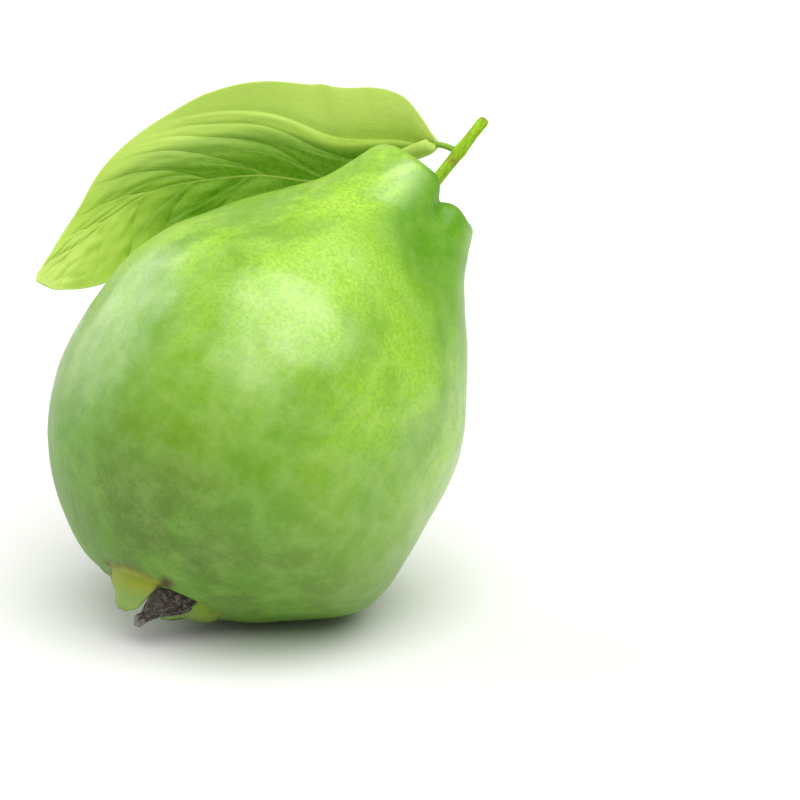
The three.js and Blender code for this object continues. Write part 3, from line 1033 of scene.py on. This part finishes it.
def blade_marks(row, across):
    """Shares of pale colour, with painted light on the upper half, and of deep colour, which is painted
    shade, at a point of the blade.
    """
    share = abs(across)
    side = math.copysign(1.0, across)
    phase, apart = vein_phase(row, share, side)
    side_vein = bell(((phase + 0.5) % 1.0 - 0.5) * apart, 0.007) * smooth(0.95, 0.4, share)
    lobe = smooth(0.14, 0.08, row) if across < 0 else 0.0
    rim = 0.35 * smooth(0.94, 1.0, share) * smooth(0.12, 0.3, row) + 0.6 * smooth(0.72, 1.0, row)
    # Painted light: the outer part of the upper half is paler where the light grazes it.
    upper = smooth(0.2, 0.7, share) * smooth(0.75, 0.5, row) if across > 0 else 0.0
    pale = min(1.0, max(rim, 0.45 * lobe, 0.4 * upper, 0.2 * side_vein))
    # Painted shade: deep colour beside the midrib, from the first side vein on in the upper half.
    if across > 0:
        reach = smooth(1.05, 0.5, share) * smooth(-0.2, 0.6, phase)
    else:
        reach = smooth(1.1, 0.5, share)
    # Painted light on the raised cushions: less of the painted shade on their tops.
    cushion = 1 - 0.25 * max(0.0, min(1.0, 2 * blade_puff(row, share, side)))
    return pale, reach * cushion * smooth(0.9, 0.5, row) * smooth(0.0, 0.12, row)


def build_blade(thickness):
    """The blade: a grid whose rows run across it and whose columns run along it."""
    clear_selection()
    bpy.ops.mesh.primitive_grid_add(x_subdivisions=BLADE_ACROSS, y_subdivisions=BLADE_ROWS, size=2)
    piece = bpy.context.object
    marks = []
    places = []
    for vertex in piece.data.vertices:
        evenly = vertex.co.x
        across = math.copysign(abs(evenly) ** 1.15, evenly)
        row = (vertex.co.y + 1) / 2
        point, half_width = blade_point(row, across)
        pale, deep = blade_marks(row, across)
        marks.append((0.7 * bell(evenly, 0.014), pale, deep))
        places.append(Vector((across * half_width, row * MIDRIB_LENGTH, 0)))
        vertex.co = point * MM
    piece.data.update()
    for name, values in zip(("vein", "pale", "deep"), zip(*marks)):
        keep_numbers(piece, name, values)
    keep_places(piece, "vein_place", places)
    thicken(piece, thickness)
    return piece


def build_leaf_stalk():
    """Leaf stalk from inside the stalk to just inside the base of the blade."""
    rows = LEAF_STALK_ROWS
    piece = add_ball(LEAF_STALK_COLUMNS, rows)
    joint = Vector((STALK_ASIDE + STALK_SLANT * LEAF_JOINT, 0, STALK_FOOT + LEAF_JOINT))
    root = fruit_pose() @ joint
    side = fruit_pose() @ (joint + Vector((-0.97, 1.29, 0)))
    base = midrib_at(0.0)[0]
    inside = midrib_at(0.03)[0]
    middle = side.lerp(base, 0.5) + Vector((0, 0, 0.2))
    steps = even_steps([root, side, middle, base, inside], rows)[0]

    def place(row, turn):
        forward = (steps[min(rows, row + 1)] - steps[max(0, row - 1)]).normalized()
        sideways = forward.cross(Vector((0, 0, 1))).normalized()
        upward = sideways.cross(forward)
        radius = LEAF_STALK_RADIUS * (1.0 + 0.5 * bell(row, 8)) * (1 - 0.45 * smooth(40, 58, row))
        if row in (0, rows):
            radius = 0.0
        angle = math.radians(turn)
        return (steps[row] + (sideways * math.cos(angle) + upward * math.sin(angle)) * radius) * MM

    shape_ball(piece, rows, place)
    for name, value in (("vein", 0.0), ("pale", 0.0), ("deep", 0.55)):
        keep_numbers(piece, name, [value] * len(piece.data.vertices))
    keep_places(piece, "vein_place", [vertex.co / MM for vertex in piece.data.vertices])
    return piece


class GUAVA_OT_leaf(bpy.types.Operator):
    """Builds the leaf with its veins and its leaf stalk"""
    bl_idname = "guava.leaf"
    bl_label = "Leaf"

    def execute(self, context):
        settings = context.scene.guava_leaf
        blade = build_blade(settings.thickness)
        leaf_stalk = build_leaf_stalk()
        clear_selection()
        leaf_stalk.select_set(True)
        blade.select_set(True)
        context.view_layer.objects.active = blade
        bpy.ops.object.join()
        dress(blade, "guava_leaf", "leaf", leaf_blade(settings))
        return {"FINISHED"}


# Dry calyx

class GuavaCalyxSettings(bpy.types.PropertyGroup):
    """Colour of the withered flower"""
    brown: bpy.props.FloatVectorProperty(
        name="Brown", description="Dead tissue of the flower", subtype="COLOR", size=4,
        min=0, max=1, default=linear("#3c3229"))


def dead_tissue(settings):
    """Withered flower: dry and matt, nearly black where it is damp, grey with fuzz where it stands free."""
    material, tree = new_material("dead_tissue")
    place = add_node(tree, "ShaderNodeTexCoord").outputs["Object"]
    free = add_node(tree, "ShaderNodeAttribute", attribute_name="free_end").outputs["Fac"]
    # Flecks of fuzz a third of a millimetre wide.
    flecks = add_node(tree, "ShaderNodeTexNoise", {
        "Vector": place, "Scale": 1400, "Detail": 4, "Roughness": 0.75}).outputs["Fac"]
    fleck_share = add_node(tree, "ShaderNodeMapRange", {
        "Value": flecks, "From Min": 0.5, "From Max": 0.72}).outputs[0]
    # Folds of the withered tissue, some 2 mm wide.
    folds = add_node(tree, "ShaderNodeTexNoise", {"Vector": place, "Scale": 420, "Detail": 3})
    fold_share = add_node(tree, "ShaderNodeMapRange", {
        "Value": folds.outputs["Fac"], "From Min": 0.35, "From Max": 0.65}).outputs[0]
    colour = layered(tree, linear("#191412"), (
        (fold_share, settings.brown),
        (fleck_share, linear("#857c74")),
        (free, linear("#a09a92")),
    ))
    bump = add_node(tree, "ShaderNodeBump", {"Strength": 0.7, "Distance": 0.0004, "Height": flecks})
    end_material(tree, {
        "Base Color": colour,
        "Roughness": 0.9,
        "IOR": 1.45,
        "Normal": bump.outputs["Normal"]})
    return material


def dry_sepal_point(along, across):
    """Point of the dry sepal's middle surface: along 0 at its root, across from -1 to 1."""
    turn, spread, length, tip, inward, swing, flare = DRY_SEPAL
    narrow = 1 - (1 - tip) * smooth(0.15, 1, along)
    turn += swing * along * along + across * spread * narrow
    slope = math.radians(inward) * smooth(0, 0.7, along)
    torn = 0.05 * noise.noise(Vector((across * 3.1, 4.4, 1.0)))
    reach = length * along * (1 - 0.16 * across * across * along + torn)
    wave = flare * math.sin(3 * across + 5 * along) * along
    crumple = 0.5 * noise.noise(Vector((across * 2.6, along * 3.0, 5))) * smooth(0, 0.4, along)
    ribs = 0.16 * math.cos(9 * across + 2 * noise.noise(Vector((along * 3, 1, 1)))) * smooth(0, 0.3, along)
    curl = 0.7 * smooth(0.75, 1.0, along) ** 2
    radius = DRY_ROOT_RADIUS - reach * math.sin(slope) + wave + crumple + ribs + curl
    return bend_axis(round_point(radius, turn, DRY_ROOT_HEIGHT - reach * math.cos(slope)))


def build_dry_sepal():
    """The withered sepal, torn at its end and pale with fuzz where it stands free."""
    clear_selection()
    bpy.ops.mesh.primitive_grid_add(x_subdivisions=DRY_SEPAL_ACROSS, y_subdivisions=DRY_SEPAL_ROWS, size=2)
    piece = bpy.context.object
    pose = fruit_pose()
    free_ends = []
    for vertex in piece.data.vertices:
        along = (vertex.co.y + 1) / 2
        across = vertex.co.x
        ragged = noise.noise(Vector((across * 4, along * 7, 9)))
        free = 0.75 * smooth(0.84, 1.0, along) + 0.5 * ragged * smooth(0.2, 0.6, along)
        free_ends.append(min(0.85, max(0.0, free)))
        vertex.co = (pose @ dry_sepal_point(along, across)) * MM
    piece.data.update()
    keep_numbers(piece, "free_end", free_ends)
    thicken(piece, DRY_SEPAL_THICKNESS * MM)
    return piece


def build_calyx_disc():
    """The withered disc that closes the flower end, with fine rays and lumps."""
    piece = add_ball(DISC_COLUMNS, DISC_ROWS)
    pose = fruit_pose()
    steps = outline_steps(DISC_OUTLINE, DISC_ROWS)

    def place(row, turn):
        radius, height = steps[row]
        own = round_point(radius, turn, height + CALYX_HEIGHT)
        rays = 0.14 * math.cos(23 * math.radians(turn)) * smooth(2.5, 6, radius)
        own.z += rays + 0.3 * noise.noise(own / 1.3) * smooth(0, 1, radius)
        return (pose @ bend_axis(own)) * MM

    shape_ball(piece, DISC_ROWS, place)
    keep_numbers(piece, "free_end", [0.0] * len(piece.data.vertices))
    return piece


def model_thread(sides, rings, length, radius, bend):
    """One thread standing on the origin: a cone cut into rings and bent over. Returns its object."""
    clear_selection()
    middle = (0, 0, length / 2)
    bpy.ops.mesh.primitive_cylinder_add(vertices=sides, radius=radius, depth=length, location=middle)
    thread = bpy.context.object
    bpy.ops.object.transform_apply(location=True)
    bpy.ops.object.mode_set(mode="EDIT")
    for number in range(1, rings):
        bpy.ops.mesh.select_all(action="SELECT")
        bpy.ops.mesh.bisect(plane_co=(0, 0, length * number / rings), plane_no=(0, 0, 1))
    bpy.ops.object.mode_set(mode="OBJECT")
    for vertex in thread.data.vertices:
        share = vertex.co.z / length
        vertex.co.x = vertex.co.x * (1 - 0.65 * share) + bend * length * share * share
        vertex.co.y *= 1 - 0.65 * share
    return thread


def copy_to(model, name, matrices, free_end):
    """One mesh with a copy of the model at each matrix. The model itself is removed."""
    points = [vertex.co.copy() for vertex in model.data.vertices]
    faces = [tuple(face.vertices) for face in model.data.polygons]
    all_points = []
    all_faces = []
    for matrix in matrices:
        first = len(all_points)
        all_points.extend(matrix @ point for point in points)
        all_faces.extend(tuple(first + corner for corner in face) for face in faces)
    mesh = bpy.data.meshes.new(name)
    mesh.from_pydata(all_points, [], all_faces)
    piece = bpy.data.objects.new(name, mesh)
    bpy.context.scene.collection.objects.link(piece)
    keep_numbers(piece, "free_end", [free_end] * len(all_points))
    bpy.data.objects.remove(model)
    return piece


def standing(place, direction, turn, size):
    """Matrix that stands a thread at the place, along the direction, turned about itself."""
    stand = direction.to_track_quat("Z", "Y").to_matrix().to_4x4()
    return Matrix.Translation(place) @ stand @ Matrix.Rotation(turn, 4, "Z") @ Matrix.Scale(size, 4)


def build_stamens():
    """Dry threads of the flower round the disc, and the stub of the style in its middle."""
    pose = fruit_pose()
    turning = pose.to_3x3()
    matrices = []
    for number in range(STAMEN_COUNT):
        ring = number % 3
        turn = number * SPREADING_TURN
        radius = 4.2 + 1.5 * ring + 0.5 * noise.noise(Vector((number * 1.7, 0, 0)))
        own = bend_axis(round_point(radius, turn, CALYX_HEIGHT + 0.6))
        out = 0.5 * noise.noise(Vector((number * 0.9, 4, 0))) - 0.25
        side = 0.8 * noise.noise(Vector((number * 0.7, 9, 2)))
        direction = Matrix.Rotation(math.radians(turn), 3, "Z") @ Vector((out, side, -1))
        size = 0.8 + 0.5 * noise.noise(Vector((number * 2.3, 1, 7)))
        matrices.append(standing((pose @ own) * MM, turning @ direction, number * 2.4, size))
    model = model_thread(6, 5, STAMEN_LENGTH * MM, STAMEN_RADIUS * MM, 0.35)
    stamens = copy_to(model, "stamens", matrices, 0.25)
    own = bend_axis(Vector((0.4, 0, CALYX_HEIGHT + 1.0)))
    model = model_thread(10, 6, STYLE_LENGTH * MM, STYLE_RADIUS * MM, 0.12)
    upright = standing((pose @ own) * MM, turning @ Vector((0, 0, -1)), 1.0, 1.0)
    style = copy_to(model, "style", [upright], 0.15)
    return stamens, style


def build_fuzz(sepal):
    """Short pale hairs on the dry sepal."""
    matrices = []
    polygons = sepal.data.polygons
    for number in range(HAIR_COUNT):
        face = polygons[(number * FACE_STRIDE) % len(polygons)]
        lean = Vector((
            noise.noise(Vector((number * 0.37, 1, 1))),
            noise.noise(Vector((number * 0.41, 5, 1))),
            noise.noise(Vector((number * 0.43, 9, 1))),
        ))
        direction = (face.normal + 1.5 * lean).normalized()
        size = 0.7 + 0.8 * abs(noise.noise(Vector((number * 0.9, 2, 3))))
        matrices.append(standing(face.center, direction, number * 1.3, size))
    model = model_thread(3, 3, HAIR_LENGTH * MM, HAIR_RADIUS * MM, 0.5)
    return copy_to(model, "fuzz", matrices, 0.8)


class GUAVA_OT_dry_calyx(bpy.types.Operator):
    """Builds the withered remains of the flower"""
    bl_idname = "guava.dry_calyx"
    bl_label = "Dry calyx"

    def execute(self, context):
        sepal = build_dry_sepal()
        fuzz = build_fuzz(sepal)
        disc = build_calyx_disc()
        stamens, style = build_stamens()
        clear_selection()
        for one in (sepal, fuzz, disc, stamens, style):
            one.select_set(True)
        context.view_layer.objects.active = disc
        bpy.ops.object.join()
        dress(disc, "guava_dry_calyx", "dry_calyx", dead_tissue(context.scene.guava_calyx))
        return {"FINISHED"}


# Stage

class GuavaStageSettings(bpy.types.PropertyGroup):
    """Camera and lights"""
    lens: bpy.props.FloatProperty(
        name="Lens", description="Focal length of the camera in millimetres", default=100)
    fill_power: bpy.props.FloatProperty(
        name="Fill", description="Strength of the wide fill light", default=1.65)
    key_power: bpy.props.FloatProperty(
        name="Key", description="Strength of the large soft key light", default=3.0)


def pale_paper():
    """Matt studio paper: plain, pale and evenly lit."""
    material, tree = new_material("pale_paper")
    end_material(tree, {
        "Base Color": linear("#f4f4f2"), "Roughness": 0.9, "IOR": 1.45})
    return material


def add_sun(name, come_from, spread, power):
    """A wide sun whose light comes from that direction."""
    bpy.ops.object.light_add(type="SUN", location=come_from)
    light = bpy.context.object
    light.name = name
    light.data.angle = spread
    light.data.energy = power
    light.rotation_euler = come_from.to_track_quat("Z", "Y").to_euler()


class GUAVA_OT_stage(bpy.types.Operator):
    """Builds the floor, the lights and the camera"""
    bl_idname = "guava.stage"
    bl_label = "Stage"

    def execute(self, context):
        settings = context.scene.guava_stage
        clear_selection()
        bpy.ops.mesh.primitive_plane_add(size=FLOOR_SIZE, location=(0, 0, 0))
        floor = context.object
        floor.name = "floor"
        floor.data.materials.append(pale_paper())
        bpy.ops.object.camera_add(location=CAMERA_PLACE, rotation=(CAMERA_TILT, 0, 0))
        camera = context.object
        camera.data.lens = settings.lens
        camera.data.sensor_width = SENSOR_WIDTH
        camera.data.clip_start = 0.01
        context.scene.camera = camera
        add_sun("key_light", KEY_FROM, KEY_SPREAD, settings.key_power)
        add_sun("fill_light", FILL_FROM, FILL_SPREAD, settings.fill_power)
        world = context.scene.world or bpy.data.worlds.new("studio")
        context.scene.world = world
        world.use_nodes = True
        tree = world.node_tree
        tree.nodes.clear()
        sky = add_node(tree, "ShaderNodeBackground", {"Color": linear("#ffffff"), "Strength": ROOM_LIGHT})
        add_node(tree, "ShaderNodeOutputWorld", {"Surface": sky.outputs["Background"]})
        context.scene.view_settings.view_transform = "Standard"
        return {"FINISHED"}


class GUAVA_PT_pieces(bpy.types.Panel):
    """Lists the pieces with their settings"""
    bl_label = "Guava"
    bl_idname = "GUAVA_PT_pieces"
    bl_space_type = "VIEW_3D"
    bl_region_type = "UI"
    bl_category = "Guava"

    def draw(self, context):
        scene = context.scene
        for settings, operator in (
            (scene.guava_fruit, "guava.fruit"),
            (scene.guava_calyx, "guava.dry_calyx"),
            (scene.guava_stalk, "guava.stalk"),
            (scene.guava_leaf, "guava.leaf"),
            (scene.guava_stage, "guava.stage"),
        ):
            box = self.layout.box()
            box.operator(operator)
            for name in settings.__annotations__:
                box.prop(settings, name)


SETTINGS = {
    "guava_fruit": GuavaFruitSettings,
    "guava_calyx": GuavaCalyxSettings,
    "guava_stalk": GuavaStalkSettings,
    "guava_leaf": GuavaLeafSettings,
    "guava_stage": GuavaStageSettings,
}
CLASSES = (
    GUAVA_OT_fruit,
    GUAVA_OT_dry_calyx,
    GUAVA_OT_stalk,
    GUAVA_OT_leaf,
    GUAVA_OT_stage,
    GUAVA_PT_pieces,
)


def register():
    for name, group in SETTINGS.items():
        bpy.utils.register_class(group)
        setattr(bpy.types.Scene, name, bpy.props.PointerProperty(type=group))
    for one in CLASSES:
        bpy.utils.register_class(one)


def unregister():
    for one in reversed(CLASSES):
        bpy.utils.unregister_class(one)
    for name, group in SETTINGS.items():
        delattr(bpy.types.Scene, name)
        bpy.utils.unregister_class(group)


def main():
    """Builds every piece in order."""
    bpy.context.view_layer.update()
    register()
    bpy.ops.guava.fruit()
    bpy.ops.guava.dry_calyx()
    bpy.ops.guava.stalk()
    bpy.ops.guava.leaf()
    bpy.ops.guava.stage()


if __name__ == "__main__":
    main()
